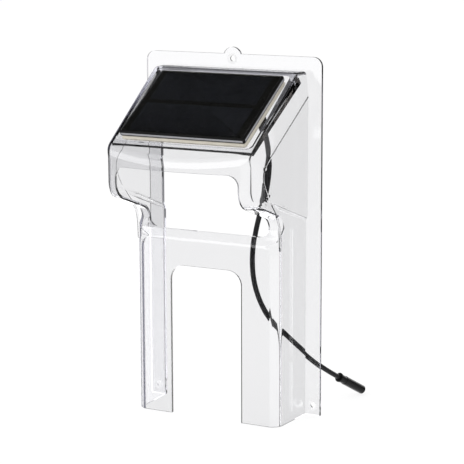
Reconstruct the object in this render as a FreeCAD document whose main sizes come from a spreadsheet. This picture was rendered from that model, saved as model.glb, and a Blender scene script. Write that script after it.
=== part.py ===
import FreeCAD, Part

# Clear weather hood for a wall-mounted control unit, with a small solar panel on its sloped roof
# and a two-core lead that ends in an in-line connector.
#
# Frame: millimetres, +Z up, +Y towards the wall, -Y to the front. The origin is the centre of the
# hood's footprint, level with its bottom edge. Depths are distances from the wall, so the back
# face of the flange is at depth 0 and y = nose_depth / 2 - depth.

import math
import os
import Sketcher
from FreeCAD import Placement, Rotation, Vector

DIMENSIONS = {
    # hood: back flange
    "flange_width": 158.5,
    "flange_height": 290.0,
    "flange_thickness": 2.5,
    "flange_corner": 7.5,
    "tab_width": 16.0,
    "tab_rise": 5.5,
    "screw_hole_diameter": 4.5,
    "countersink_diameter": 8.7,
    "countersink_depth": 1.2,
    "top_hole_height": 286.2,
    "lower_hole_spacing": 145.6,
    "lower_hole_height": 8.3,
    # hood: walls
    "wall_thickness": 2.4,
    "side_back_half": 67.8,
    "side_front_half": 65.7,
    "side_break_depth": 75.0,
    "leg_back_half": 66.4,
    "leg_front_half": 64.4,
    "ledge_back_height": 160.0,
    "ledge_slope": 0.355,
    "ledge_rise": 3.0,
    "nose_depth": 101.8,
    "nose_half": 62.8,
    "nose_corner_depth": 92.0,
    "bow_radius": 236.0,
    # hood: legs and crossbar
    "plate_depth": 48.5,
    "plate_half": 58.2,
    "bevel_depth": 43.8,
    "plate_top": 145.0,
    "sill_height": 151.6,
    "arch_half": 32.0,
    "arch_height": 123.6,
    "arch_corner": 12.0,
    # hood: nose, window and roof
    "shelf_depth": 59.8,
    "shelf_height": 169.0,
    "shelf_angle": 19.8,
    "throat_depth": 51.5,
    "throat_radius": 13.0,
    "chin_radius": 17.0,
    "brow_radius": 12.0,
    "window_half": 54.0,
    "window_top": 207.9,
    "window_corner": 9.0,
    "roof_depth": 14.9,
    "roof_height": 278.6,
    "roof_angle": 35.65,
    "roof_half": 63.7,
    "crease_back_height": 260.2,
    "crease_front_height": 211.3,
    # seat of the panel, a flat recess that is less steep than the roof
    "seat_angle": 32.0,
    "seat_depth": 48.93,
    "seat_height": 247.97,
    "seat_half_width": 60.0,
    "seat_half_length": 42.7,
    "seat_corner": 5.0,
    "seat_wall_height": 9.0,
    # panel stack, measured up from the seat
    "pad_thickness": 4.0,
    "panel_width": 110.0,
    "panel_length": 80.0,
    "panel_corner": 2.4,
    "tray_height": 5.0,
    "tray_wall": 1.6,
    "tray_floor": 1.0,
    "board_clearance": 0.15,
    "board_thickness": 0.8,
    "cover_thickness": 0.6,
    "seal_thickness": 0.6,
    "cell_columns": 10.0,
    "cell_width": 9.2,
    "cell_length": 34.5,
    "cell_thickness": 0.2,
    "cell_pitch": 9.5,
    "row_gap": 4.6,
    "cell_field_shift": -0.8,
    # lead outlet, in the plane of the seat
    "outlet_x": 49.8,
    "outlet_y": -4.0,
    "bush_head_diameter": 6.8,
    "bush_diameter": 5.6,
    "bush_head_height": 1.6,
    "bush_tail": 12.0,
    "grommet_flange_diameter": 11.0,
    "grommet_neck_diameter": 8.4,
    "grommet_flange_height": 1.4,
    "pad_hole_diameter": 7.0,
    # lead and connector
    "lead_diameter": 4.2,
    "core_diameter": 1.3,
    "connector_diameter": 7.5,
    "connector_length": 35.7,
    "collar_diameter": 8.0,
    "collar_length": 8.0,
    "collar_rim": 1.4,
    "socket_diameter": 5.8,
    "socket_depth": 9.0,
    "insert_length": 12.0,
    "pin_diameter": 1.0,
    "pin_spacing": 2.4,
    "pin_length": 15.0,
    "ring_section": 1.0,
}

# Corners of the lead's route, from the tip of its bush to the back of the connector. The first
# run leaves the seat at right angles and the last one lies on the connector's axis.
LEAD_ROUTE = [
    Vector(49.8, 11.5, 225.2),
    Vector(50.0, 13.8, 204.0),
    Vector(45.0, 14.3, 178.0),
    Vector(36.6, 15.6, 149.0),
    Vector(32.9, 19.9, 122.0),
    Vector(34.0, 27.4, 99.0),
    Vector(40.3, 38.9, 76.0),
    Vector(52.6, 53.9, 57.0),
    Vector(67.3, 73.4, 33.9),
]
CONNECTOR_BACK = Vector(74.0, 96.9, 20.2)
ARC_SHARE = 0.45

doc = FreeCAD.newDocument("weather_hood")
sheet = doc.addObject("Spreadsheet::Sheet", "dims")
sub_parts = []


def fill_sheet():
    for row, (name, value) in enumerate(DIMENSIONS.items(), start=1):
        sheet.set("A%d" % row, name)
        sheet.set("B%d" % row, str(value))
        sheet.setAlias("B%d" % row, name)
    doc.recompute()


def dim(name):
    return float(sheet.get(name))


def sine(degrees):
    return math.sin(math.radians(degrees))


def cosine(degrees):
    return math.cos(math.radians(degrees))


def keep(part, label, placement=None):
    """Name a finished sub-part and put it in its place."""
    part.Label = label
    if placement is not None:
        part.Placement = placement
    sub_parts.append(part)
    return part


def feature(label, shape, placement=None):
    """A sub-part whose shape is computed here instead of by a parametric object."""
    part = doc.addObject("Part::Feature", label)
    part.Shape = shape
    return keep(part, label, placement)


# ---------------------------------------------------------------- frames of the assembly

def wall_y(depth):
    """y of a point that stands this far in front of the wall."""
    return dim("nose_depth") / 2 - depth


def seat_frame():
    """Origin in the middle of the seat, x across, y up the slope, z out of the roof."""
    origin = Vector(0, wall_y(dim("seat_depth")), dim("seat_height"))
    return Placement(origin, Rotation(Vector(1, 0, 0), dim("seat_angle")))


def lead_start():
    """Tip of the lead's bush, below the seat."""
    return seat_frame().multVec(Vector(dim("outlet_x"), dim("outlet_y"), -dim("bush_tail")))


def connector_axis():
    return (CONNECTOR_BACK - LEAD_ROUTE[-1]).normalize()


def connector_frame():
    """Origin at the back of the connector, z along it towards the mating face."""
    return Placement(CONNECTOR_BACK, Rotation(Vector(0, 0, 1), connector_axis()))


# ---------------------------------------------------------------- outlines

def rounded_edges(corners, radii):
    """Closed outline through the corners, with an arc of the given radius at each of them."""
    edges = []
    tangent_points = []
    count = len(corners)
    for index, corner in enumerate(corners):
        before = (corners[index - 1] - corner).normalize()
        after = (corners[(index + 1) % count] - corner).normalize()
        radius = radii[index]
        if radius == 0:
            tangent_points.append((corner, corner, corner))
            continue
        half_angle = before.getAngle(after) / 2
        setback = radius / math.tan(half_angle)
        bisector = (before + after).normalize()
        middle = corner + bisector * (radius / math.sin(half_angle) - radius)
        tangent_points.append((corner + before * setback, middle, corner + after * setback))
    for index, (start, middle, end) in enumerate(tangent_points):
        if start != end:
            edges.append(Part.Arc(start, middle, end).toShape())
        next_start = tangent_points[(index + 1) % count][0]
        if (next_start - end).Length > 1e-6:
            edges.append(Part.LineSegment(end, next_start).toShape())
    return edges


def prism(corners, radii, sweep):
    """Solid made by moving a rounded outline along the sweep vector."""
    outline = Part.Wire(rounded_edges(corners, radii))
    return Part.Face(outline).extrude(sweep)


def crossing(point_a, direction_a, point_b, direction_b):
    """Where two lines of the depth-height plane meet."""
    determinant = direction_a[0] * direction_b[1] - direction_a[1] * direction_b[0]
    gap_depth = point_b[0] - point_a[0]
    gap_height = point_b[1] - point_a[1]
    along = (gap_depth * direction_b[1] - gap_height * direction_b[0]) / determinant
    return (point_a[0] + along * direction_a[0], point_a[1] + along * direction_a[1])


# ---------------------------------------------------------------- hood

def side_half(depth, inset):
    """Half width between the upper side walls, which narrow towards the front and faster past
    the break."""
    break_depth = dim("side_break_depth")
    if depth <= break_depth:
        rate = (dim("side_back_half") - dim("side_front_half")) / break_depth
        return dim("side_back_half") - rate * depth - inset
    rate = (dim("side_front_half") - dim("nose_half")) / (dim("nose_corner_depth") - break_depth)
    return dim("side_front_half") - rate * (depth - break_depth) - inset


def leg_half(depth, inset):
    """Half width between the side walls below the ledge; they join the upper ones at the break."""
    bevel_depth = dim("bevel_depth")
    break_depth = dim("side_break_depth")
    if depth > break_depth:
        return side_half(depth, inset)
    if depth <= bevel_depth:
        rate = (dim("leg_front_half") - dim("leg_back_half")) / bevel_depth
        return dim("leg_back_half") + rate * depth - inset
    rate = (dim("side_front_half") - dim("leg_front_half")) / (break_depth - bevel_depth)
    return dim("leg_front_half") + rate * (depth - bevel_depth) - inset


def side_plan(half, depths, inset):
    """Outline of one side as (half width, depth) points."""
    return [(half(depth, inset), depth) for depth in depths]


def profile_prism(points, half_width):
    """Prism across the hood from an outline of (depth, height) points."""
    corners = [Vector(-half_width, wall_y(depth), height) for depth, height in points]
    return prism(corners, [0] * len(corners), Vector(2 * half_width, 0, 0))


def plan_prism(points, bottom, top):
    """Upright prism from the (half width, depth) points of one side, mirrored to the other."""
    right = [Vector(half, wall_y(depth), bottom) for half, depth in points]
    left = [Vector(-half, wall_y(depth), bottom) for half, depth in reversed(points)]
    corners = right + left
    return prism(corners, [0] * len(corners), Vector(0, 0, top - bottom))


def nose_block(inset):
    """The bowed front of the hood: its profile turned about an upright axis behind the wall."""
    shelf = (cosine(dim("shelf_angle")), sine(dim("shelf_angle")))
    shelf_point = (dim("shelf_depth") - inset * shelf[1], dim("shelf_height") + inset * shelf[0])
    throat = dim("throat_depth") - inset
    front = dim("nose_depth") - inset
    throat_corner = crossing((throat, 0), (0, 1), shelf_point, shelf)
    chin_corner = crossing((front, 0), (0, 1), shelf_point, shelf)
    rear = -40.0
    ceiling = 300.0
    base = dim("sill_height")
    points = [(rear, base), (throat, base), throat_corner, chin_corner, (front, ceiling),
              (rear, ceiling)]
    radii = [0, 0, dim("throat_radius") + inset, dim("chin_radius") - inset, 0, 0]
    corners = [Vector(0, wall_y(depth), height) for depth, height in points]
    axis_y = wall_y(dim("nose_depth") - dim("bow_radius"))
    face = Part.Face(Part.Wire(rounded_edges(corners, radii)))
    sweep_angle = 110.0
    face.rotate(Vector(0, axis_y, 0), Vector(0, 0, 1), -sweep_angle / 2)
    return face.revolve(Vector(0, axis_y, 0), Vector(0, 0, 1), sweep_angle)


def slope_height(depth, inset):
    """Height of the sloped roof at a depth."""
    drop = (depth - dim("roof_depth")) * math.tan(math.radians(dim("roof_angle")))
    return dim("roof_height") - drop - inset / cosine(dim("roof_angle"))


def roof_block(inset):
    """Everything below the flat roof strip and the slope."""
    top = dim("roof_height") - inset
    slope_start = (0, slope_height(0, inset))
    slope = (cosine(dim("roof_angle")), -sine(dim("roof_angle")))
    ridge = crossing((0, top), (1, 0), slope_start, slope)
    far_depth = 125.0
    base = 100.0
    points = [(0, base), (0, top), ridge, (far_depth, slope_height(far_depth, inset)),
              (far_depth, base)]
    return profile_prism(points, 200.0)


def half_space(back, front, top, inset):
    """Solid on the inner side of the plane through three points, moved inwards by the inset."""
    along = (front - back).normalize()
    inwards = along.cross(top - back).normalize()
    if inwards.x * back.x > 0:
        inwards = -inwards
    up = inwards.cross(along)
    reach = 400.0
    base = back + inwards * inset
    corners = [base - along * reach - up * reach, base + along * reach - up * reach,
               base + along * reach + up * reach, base - along * reach + up * reach]
    return prism(corners, [0] * 4, inwards * reach)


def leaning_side(inset, side):
    """Half space under the strip of side wall that leans inwards beside the roof."""
    front_depth = dim("side_break_depth")
    middle_depth = (dim("roof_depth") + dim("nose_corner_depth")) / 2
    back = Vector(side * side_half(0, 0), wall_y(0), dim("crease_back_height"))
    front = Vector(side * side_half(front_depth, 0), wall_y(front_depth),
                   dim("crease_front_height"))
    top = Vector(side * dim("roof_half"), wall_y(middle_depth), slope_height(middle_depth, 0))
    return half_space(back, front, top, inset)


def ledge_side(inset, side):
    """Half space over the slanting ledge between the upper and the lower side wall."""
    front_depth = dim("bevel_depth")
    height = dim("ledge_back_height")
    back = Vector(side * leg_half(0, 0), wall_y(0), height)
    front = Vector(side * leg_half(front_depth, 0), wall_y(front_depth),
                   height + front_depth * dim("ledge_slope"))
    top = Vector(side * side_half(0, 0), wall_y(0), height + dim("ledge_rise"))
    return half_space(back, front, top, inset)


def edges_at(shape, places):
    """The edges of a shape that run through the given points."""
    found = []
    for place in places:
        near = min(shape.Edges, key=lambda edge: edge.distToShape(Part.Vertex(place))[0])
        found.append(near)
    return found


def upper_block(inset):
    """Nose and roof of the hood, down to the window sill."""
    depths = [0, dim("side_break_depth"), 125.0]
    leg_depths = [0, dim("bevel_depth"), dim("side_break_depth"), 125.0]
    block = nose_block(inset).common(roof_block(inset))
    front = dim("nose_depth") - inset
    brow = edges_at(block, [Vector(0, wall_y(front), slope_height(front, inset))])
    block = block.makeFillet(dim("brow_radius") - inset, brow)
    for side in (-1, 1):
        block = block.common(leaning_side(inset, side))
    narrow = block.common(plan_prism(side_plan(leg_half, leg_depths, inset), 100, 300))
    wide = block.common(plan_prism(side_plan(side_half, depths, inset), 100, 300))
    for side in (-1, 1):
        wide = wide.common(ledge_side(inset, side))
    return wide.fuse(narrow).removeSplitter()


def inset_line(start, end, inset):
    """Point and direction of the line through two points, moved inwards to its left."""
    direction = (end[0] - start[0], end[1] - start[1])
    length = math.hypot(*direction)
    point = (start[0] - inset * direction[1] / length, start[1] + inset * direction[0] / length)
    return point, direction


def lower_block(inset, overlap):
    """Legs and crossbar, with the bevel round the raised front plate; it reaches this far into
    the upper block."""
    front = dim("plate_depth") - inset
    bevel_depth = dim("bevel_depth")
    corner = (leg_half(bevel_depth, 0), bevel_depth)
    side = inset_line((leg_half(0, 0), 0), corner, inset)
    bevel = inset_line(corner, (dim("plate_half"), dim("plate_depth")), inset)
    plan = [(leg_half(0, inset), 0), crossing(*side, *bevel), crossing((0, front), (1, 0), *bevel)]
    floor = -inset
    top = dim("sill_height") + overlap
    top_bevel = inset_line((dim("plate_depth"), dim("plate_top")),
                           (bevel_depth, dim("sill_height")), inset)
    profile = [(0, floor), (front, floor), crossing((front, 0), (0, 1), *top_bevel),
               crossing((0, top), (1, 0), *top_bevel), (0, top)]
    body = plan_prism(plan, floor, top)
    return body.common(profile_prism(profile, 80.0))


def seat_block(grow):
    """Room of the panel's recess; grown by the wall, it is the block round the recess."""
    half_x = dim("seat_half_width") + grow
    half_y = dim("seat_half_length") + grow
    radius = dim("seat_corner") + grow
    corners = [Vector(-half_x, -half_y, -grow), Vector(half_x, -half_y, -grow),
               Vector(half_x, half_y, -grow), Vector(-half_x, half_y, -grow)]
    block = prism(corners, [radius] * 4, Vector(0, 0, dim("seat_wall_height") + 30 + grow))
    block.Placement = seat_frame()
    return block


def flange_plate():
    """Back flange with rounded top corners and the hanging tab."""
    half = dim("flange_width") / 2
    height = dim("flange_height")
    back = wall_y(0)
    sweep = Vector(0, -dim("flange_thickness"), 0)
    corners = [Vector(-half, back, 0), Vector(half, back, 0),
               Vector(half, back, height), Vector(-half, back, height)]
    plate = prism(corners, [0, 0, dim("flange_corner"), dim("flange_corner")], sweep)
    tab_half = dim("tab_width") / 2
    tab_top = height + dim("tab_rise")
    tab = [Vector(-tab_half, back, height - 10), Vector(tab_half, back, height - 10),
           Vector(tab_half, back, tab_top), Vector(-tab_half, back, tab_top)]
    tab_radius = tab_half - 0.01
    return plate.fuse(prism(tab, [0, 0, tab_radius, tab_radius], sweep))


def screw_cutter(x, height):
    """Through hole with a shallow countersink on the front face."""
    radius = dim("screw_hole_diameter") / 2
    sink = dim("countersink_diameter") / 2
    front = wall_y(dim("flange_thickness"))
    hole = Part.makeCylinder(radius, 20, Vector(x, wall_y(-5), height), Vector(0, -1, 0))
    cone = Part.makeCone(sink, radius, dim("countersink_depth"), Vector(x, front, height),
                         Vector(0, 1, 0))
    return hole.fuse(cone)


def lead_hole_cutter():
    """Hole for the lead's grommet through the floor of the seat."""
    length = 10.0
    base = seat_frame().multVec(Vector(dim("outlet_x"), dim("outlet_y"), -length / 2))
    normal = seat_frame().Rotation.multVec(Vector(0, 0, 1))
    return Part.makeCylinder(dim("grommet_neck_diameter") / 2, length, base, normal)


def window_cutter():
    half = dim("window_half")
    start = wall_y(25)
    bottom = dim("sill_height")
    top = dim("window_top")
    corners = [Vector(-half, start, bottom), Vector(half, start, bottom),
               Vector(half, start, top), Vector(-half, start, top)]
    return prism(corners, [dim("window_corner")] * 4, Vector(0, -100, 0))


def arch_cutter():
    half = dim("arch_half")
    start = wall_y(35)
    top = dim("arch_height")
    corners = [Vector(-half, start, -5), Vector(half, start, -5),
               Vector(half, start, top), Vector(-half, start, top)]
    return prism(corners, [0, 0, dim("arch_corner"), dim("arch_corner")], Vector(0, -30, 0))


def make_hood_shell():
    wall = dim("wall_thickness")
    outer = upper_block(0).fuse([lower_block(0, 0), flange_plate()])
    room = upper_block(wall).fuse(lower_block(wall, 1.0)).cut(seat_block(wall))
    lower_x = dim("lower_hole_spacing") / 2
    cutters = [room, seat_block(0), window_cutter(), arch_cutter(), lead_hole_cutter(),
               screw_cutter(0, dim("top_hole_height")),
               screw_cutter(-lower_x, dim("lower_hole_height")),
               screw_cutter(lower_x, dim("lower_hole_height"))]
    shell = outer
    for cutter in cutters:
        shell = shell.cut(cutter)
    feature("hood_shell", shell.removeSplitter())


# ---------------------------------------------------------------- sketches of the panel stack

def origin_plane(body, role):
    for item in body.Origin.OriginFeatures:
        if item.Role == role:
            return item


def new_sketch(body, name, role, height=None):
    """Sketch on one of the body's origin planes, raised by an expression."""
    sketch = body.newObject("Sketcher::SketchObject", name)
    sketch.AttachmentSupport = [(origin_plane(body, role), "")]
    sketch.MapMode = "FlatFace"
    if height is not None:
        sketch.setExpression("AttachmentOffset.Base.z", height)
    return sketch


def draw_rectangle(sketch, width, length):
    """Rectangle about the sketch's origin; width and length are expressions."""
    points = [Vector(-5, -5, 0), Vector(5, -5, 0), Vector(5, 5, 0), Vector(-5, 5, 0)]
    for index in range(4):
        line = Part.LineSegment(points[index], points[(index + 1) % 4])
        sketch.addGeometry(line, False)
    for index in range(4):
        sketch.addConstraint(Sketcher.Constraint("Coincident", index, 2, (index + 1) % 4, 1))
    for index in (0, 2):
        sketch.addConstraint(Sketcher.Constraint("Horizontal", index))
        sketch.addConstraint(Sketcher.Constraint("Vertical", index + 1))
    sketch.addConstraint(Sketcher.Constraint("Symmetric", 0, 1, 1, 2, -1, 1))
    wide = sketch.addConstraint(Sketcher.Constraint("DistanceX", 0, 1, 0, 2, 10.0))
    long = sketch.addConstraint(Sketcher.Constraint("DistanceY", 1, 1, 1, 2, 10.0))
    sketch.setExpression("Constraints[%d]" % wide, width)
    sketch.setExpression("Constraints[%d]" % long, length)


def draw_circle(sketch, diameter, x, y):
    """Circle whose diameter and centre are expressions."""
    circle = sketch.addGeometry(Part.Circle(Vector(5, 5, 0), Vector(0, 0, 1), 2.0), False)
    size = sketch.addConstraint(Sketcher.Constraint("Diameter", circle, 4.0))
    across = sketch.addConstraint(Sketcher.Constraint("DistanceX", -1, 1, circle, 3, 5.0))
    upward = sketch.addConstraint(Sketcher.Constraint("DistanceY", -1, 1, circle, 3, 5.0))
    sketch.setExpression("Constraints[%d]" % size, diameter)
    sketch.setExpression("Constraints[%d]" % across, x)
    sketch.setExpression("Constraints[%d]" % upward, y)


def upright_edges(body):
    """Names of the straight edges that run along the body's z axis."""
    names = []
    for index, edge in enumerate(body.Shape.Edges, start=1):
        ends = edge.Vertexes
        if len(ends) == 2 and abs(ends[0].X - ends[1].X) + abs(ends[0].Y - ends[1].Y) < 1e-6:
            names.append("Edge%d" % index)
    return names


def rounded_plate(name, width, length, thickness, height, corner):
    """Plate with rounded corners whose sizes are all expressions."""
    body = doc.addObject("PartDesign::Body", name)
    sketch = new_sketch(body, name + "_outline", "XY_Plane", height)
    draw_rectangle(sketch, width, length)
    pad = body.newObject("PartDesign::Pad", name + "_plate")
    pad.Profile = sketch
    pad.setExpression("Length", thickness)
    doc.recompute()
    fillet = body.newObject("PartDesign::Fillet", name + "_corners")
    fillet.Base = (pad, upright_edges(body))
    fillet.setExpression("Radius", corner)
    doc.recompute()
    return body


def cut_hole(body, name, diameter, height, depth):
    """Round hole at the lead outlet, cut downwards from the given height."""
    sketch = new_sketch(body, name + "_outline", "XY_Plane", height)
    draw_circle(sketch, diameter, "dims.outlet_x", "dims.outlet_y")
    pocket = body.newObject("PartDesign::Pocket", name)
    pocket.Profile = sketch
    pocket.setExpression("Length", depth)
    doc.recompute()


def make_foam_pad():
    body = rounded_plate("foam_pad", "dims.panel_width", "dims.panel_length",
                         "dims.pad_thickness", "0", "dims.panel_corner")
    cut_hole(body, "pad_hole", "dims.pad_hole_diameter", "dims.pad_thickness",
             "dims.pad_thickness")
    keep(body, "foam_pad", seat_frame())


def make_panel_tray():
    body = rounded_plate("panel_tray", "dims.panel_width", "dims.panel_length",
                         "dims.tray_height", "dims.pad_thickness", "dims.panel_corner")
    sketch = new_sketch(body, "tray_room_outline", "XY_Plane",
                        "dims.pad_thickness + dims.tray_height")
    draw_rectangle(sketch, "dims.panel_width - 2 * dims.tray_wall",
                   "dims.panel_length - 2 * dims.tray_wall")
    pocket = body.newObject("PartDesign::Pocket", "tray_room")
    pocket.Profile = sketch
    pocket.setExpression("Length", "dims.tray_height - dims.tray_floor")
    doc.recompute()
    cut_hole(body, "tray_hole", "dims.bush_diameter", "dims.pad_thickness + dims.tray_floor",
             "dims.tray_floor")
    keep(body, "panel_tray", seat_frame())


STACK_WIDTH = "dims.panel_width - 2 * dims.tray_wall - 2 * dims.board_clearance"
STACK_LENGTH = "dims.panel_length - 2 * dims.tray_wall - 2 * dims.board_clearance"
STACK_TOP = "dims.pad_thickness + dims.tray_height"
BOARD_BOTTOM = STACK_TOP + " - dims.cover_thickness - dims.seal_thickness - dims.board_thickness"
SEAL_BOTTOM = STACK_TOP + " - dims.cover_thickness - dims.seal_thickness"
INNER_CORNER = "dims.panel_corner - dims.tray_wall"


def make_circuit_board():
    body = rounded_plate("circuit_board", STACK_WIDTH, STACK_LENGTH, "dims.board_thickness",
                         BOARD_BOTTOM, INNER_CORNER)
    keep(body, "circuit_board", seat_frame())


def make_cover_sheet():
    body = rounded_plate("cover_sheet", STACK_WIDTH, STACK_LENGTH, "dims.cover_thickness",
                         STACK_TOP + " - dims.cover_thickness", INNER_CORNER)
    keep(body, "cover_sheet", seat_frame())


def seal_bottom():
    return (dim("pad_thickness") + dim("tray_height") - dim("cover_thickness")
            - dim("seal_thickness"))


def board_bottom():
    return seal_bottom() - dim("board_thickness")


def new_box(name, width, length, height, x, y, z):
    """Box with expression-bound sizes, centred on x and y, standing on z."""
    box = doc.addObject("Part::Box", name)
    box.setExpression("Length", width)
    box.setExpression("Width", length)
    box.setExpression("Height", height)
    doc.recompute()
    box.Placement = Placement(Vector(x - box.Length.Value / 2, y - box.Width.Value / 2, z),
                              Rotation())
    return box


def cell_boxes(prefix):
    boxes = []
    columns = int(dim("cell_columns"))
    row_offset = (dim("cell_length") + dim("row_gap")) / 2
    for row in (-1, 1):
        for column in range(columns):
            x = (column - (columns - 1) / 2) * dim("cell_pitch") + dim("cell_field_shift")
            name = "%s_%d_%d" % (prefix, (row + 1) // 2, column)
            boxes.append(new_box(name, "dims.cell_width", "dims.cell_length",
                                 "dims.cell_thickness", x, row * row_offset, seal_bottom()))
    return boxes


def make_solar_cells():
    cells = doc.addObject("Part::Compound", "solar_cells")
    cells.Links = cell_boxes("cell")
    keep(cells, "solar_cells", seat_frame())


def make_cell_encapsulant():
    sheet_body = rounded_plate("encapsulant_sheet", STACK_WIDTH, STACK_LENGTH,
                               "dims.seal_thickness", SEAL_BOTTOM, INNER_CORNER)
    pockets = doc.addObject("Part::Compound", "cell_pockets")
    pockets.Links = cell_boxes("pocket")
    layer = doc.addObject("Part::Cut", "cell_encapsulant")
    layer.Base = sheet_body
    layer.Tool = pockets
    doc.recompute()
    keep(layer, "cell_encapsulant", seat_frame())


# ---------------------------------------------------------------- parts in the tray's back room

PAD_X = 38.0
PAD_SPACING = 12.0
PAD_COPPER = 0.1


def make_terminal_pads():
    height = board_bottom() - PAD_COPPER
    pads = doc.addObject("Part::Compound", "terminal_pads")
    pads.Links = [new_box("pad_%d" % side, "5", "4", str(PAD_COPPER), PAD_X,
                          dim("outlet_y") + side * PAD_SPACING / 2, height) for side in (-1, 1)]
    keep(pads, "terminal_pads", seat_frame())


def make_blocking_diode():
    """Surface-mounted diode under the board, between the positive pad and the cells."""
    case_height = 1.1
    foot_thickness = 0.15
    y = dim("outlet_y") + PAD_SPACING / 2 + 6.0
    case_base = board_bottom() - foot_thickness - case_height
    case = Part.makeBox(2.7, 1.6, case_height, Vector(PAD_X - 1.35, y - 0.8, case_base))
    feet = Part.makeBox(3.7, 1.0, foot_thickness,
                        Vector(PAD_X - 1.85, y - 0.5, board_bottom() - foot_thickness))
    feature("blocking_diode", case.fuse(feet).removeSplitter(), seat_frame())


def core_height():
    return board_bottom() - PAD_COPPER - dim("core_diameter") / 2


def make_cores():
    """Insulated cores of the lead, from the head of its bush to the two pads."""
    radius = dim("core_diameter") / 2
    head_radius = dim("bush_head_diameter") / 2
    for label, side in (("positive_core", 1), ("negative_core", -1)):
        start = Vector(dim("outlet_x"), dim("outlet_y"), core_height())
        end = Vector(PAD_X + 3.4, dim("outlet_y") + side * PAD_SPACING / 2, core_height())
        direction = (end - start).normalize()
        start = start + direction * (head_radius + 0.25)
        core = Part.makeCylinder(radius, (end - start).Length, start, direction)
        feature(label, core, seat_frame())


def make_core_joints():
    """Two flattened beads of solder on the pads."""
    beads = []
    for side in (-1, 1):
        centre = Vector(PAD_X + 0.6, dim("outlet_y") + side * PAD_SPACING / 2,
                        board_bottom() - PAD_COPPER)
        beads.append(Part.makeCone(1.5, 0.9, 1.2, centre, Vector(0, 0, -1)))
    feature("core_joints", Part.makeCompound(beads), seat_frame())


def draw_half_section(sketch, points):
    """Closed polygon of (radius, height) points beside the axis of a revolution."""
    count = len(points)
    for index in range(count):
        start = Vector(points[index][0], points[index][1], 0)
        end = Vector(points[(index + 1) % count][0], points[(index + 1) % count][1], 0)
        sketch.addGeometry(Part.LineSegment(start, end), False)
        if index:
            sketch.addConstraint(Sketcher.Constraint("Coincident", index - 1, 2, index, 1))
    sketch.addConstraint(Sketcher.Constraint("Coincident", count - 1, 2, 0, 1))
    sketch.addConstraint(Sketcher.Constraint("Block", 0))


def turned_body(name, points):
    """PartDesign revolution of a half section about the body's z axis."""
    body = doc.addObject("PartDesign::Body", name)
    sketch = new_sketch(body, name + "_section", "XZ_Plane")
    draw_half_section(sketch, points)
    turn = body.newObject("PartDesign::Revolution", name + "_turned")
    turn.Profile = sketch
    turn.ReferenceAxis = (sketch, ["V_Axis"])
    turn.Angle = 360.0
    doc.recompute()
    return body


def outlet_frame():
    """The seat's frame, moved to the axis of the lead outlet."""
    shift = Placement(Vector(dim("outlet_x"), dim("outlet_y"), 0), Rotation())
    return seat_frame().multiply(shift)


def make_lead_bush():
    """Moulded strain relief: head inside the tray, shank through the roof, tapered tail."""
    floor_top = dim("pad_thickness") + dim("tray_floor")
    head = dim("bush_head_diameter") / 2
    shank = dim("bush_diameter") / 2
    tip = dim("lead_diameter") / 2 + 0.25
    tail = -dim("bush_tail")
    taper_top = -dim("wall_thickness") - dim("grommet_flange_height")
    section = [(0, tail), (tip, tail), (shank, taper_top), (shank, floor_top),
               (head, floor_top), (head, floor_top + dim("bush_head_height")),
               (0, floor_top + dim("bush_head_height"))]
    keep(turned_body("lead_bush", section), "lead_bush", outlet_frame())


def make_lead_grommet():
    """Rubber grommet in the hood's lead hole: a neck flush with the seat and a flange below."""
    bore = dim("bush_diameter") / 2
    neck = dim("grommet_neck_diameter") / 2
    flange = dim("grommet_flange_diameter") / 2
    lip = dim("grommet_flange_height")
    wall = dim("wall_thickness")
    section = [(bore, -wall - lip), (flange, -wall - lip), (flange, -wall), (neck, -wall),
               (neck, 0), (bore, 0)]
    keep(turned_body("lead_grommet", section), "lead_grommet", outlet_frame())


# ---------------------------------------------------------------- lead

def rounded_path(points):
    """Straight runs joined by arcs as large as the shorter run at each corner allows."""
    edges = []
    start = points[0]
    for before, corner, after in zip(points, points[1:], points[2:]):
        arriving = corner - before
        leaving = after - corner
        turn = arriving.getAngle(leaving)
        radius = ARC_SHARE * min(arriving.Length, leaving.Length) / math.tan(turn / 2)
        setback = radius * math.tan(turn / 2)
        back = (before - corner).normalize()
        ahead = (after - corner).normalize()
        middle = corner + (back + ahead).normalize() * (radius / math.cos(turn / 2) - radius)
        first = corner + back * setback
        last = corner + ahead * setback
        edges.append(Part.LineSegment(start, first).toShape())
        edges.append(Part.Arc(first, middle, last).toShape())
        start = last
        print("lead arc: turn %.1f degrees, radius %.1f mm" % (math.degrees(turn), radius))
    edges.append(Part.LineSegment(start, points[-1]).toShape())
    return Part.Wire(edges)


def make_solar_lead():
    points = [lead_start()] + LEAD_ROUTE + [CONNECTOR_BACK]
    path = rounded_path(points)
    radius = dim("lead_diameter") / 2
    circle = Part.Circle(points[0], points[1] - points[0], radius)
    section = Part.Wire(circle.toShape())
    tube = path.makePipeShell([section], True, False)
    expected = math.pi * radius ** 2 * path.Length
    print("lead: length %.1f mm, volume %.1f mm3, expected %.1f mm3"
          % (path.Length, tube.Volume, expected))
    if abs(tube.Volume - expected) > 0.01 * expected:
        raise ValueError("the lead's volume doesn't match its length")
    feature("solar_lead", tube)


# ---------------------------------------------------------------- connector

def make_connector_collar():
    """Rear grip of the connector: a rim, a waist and a shoulder, moulded round the lead."""
    rim = dim("collar_diameter") / 2
    waist = dim("connector_diameter") / 2 - 0.3
    length = dim("collar_length")
    flare = dim("collar_rim")
    section = [(0, 0), (rim - 0.5, 0), (rim, 0.5), (rim, flare), (waist, flare + 0.4),
               (waist, length), (0, length)]
    keep(turned_body("connector_collar", section), "connector_collar", connector_frame())


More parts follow.
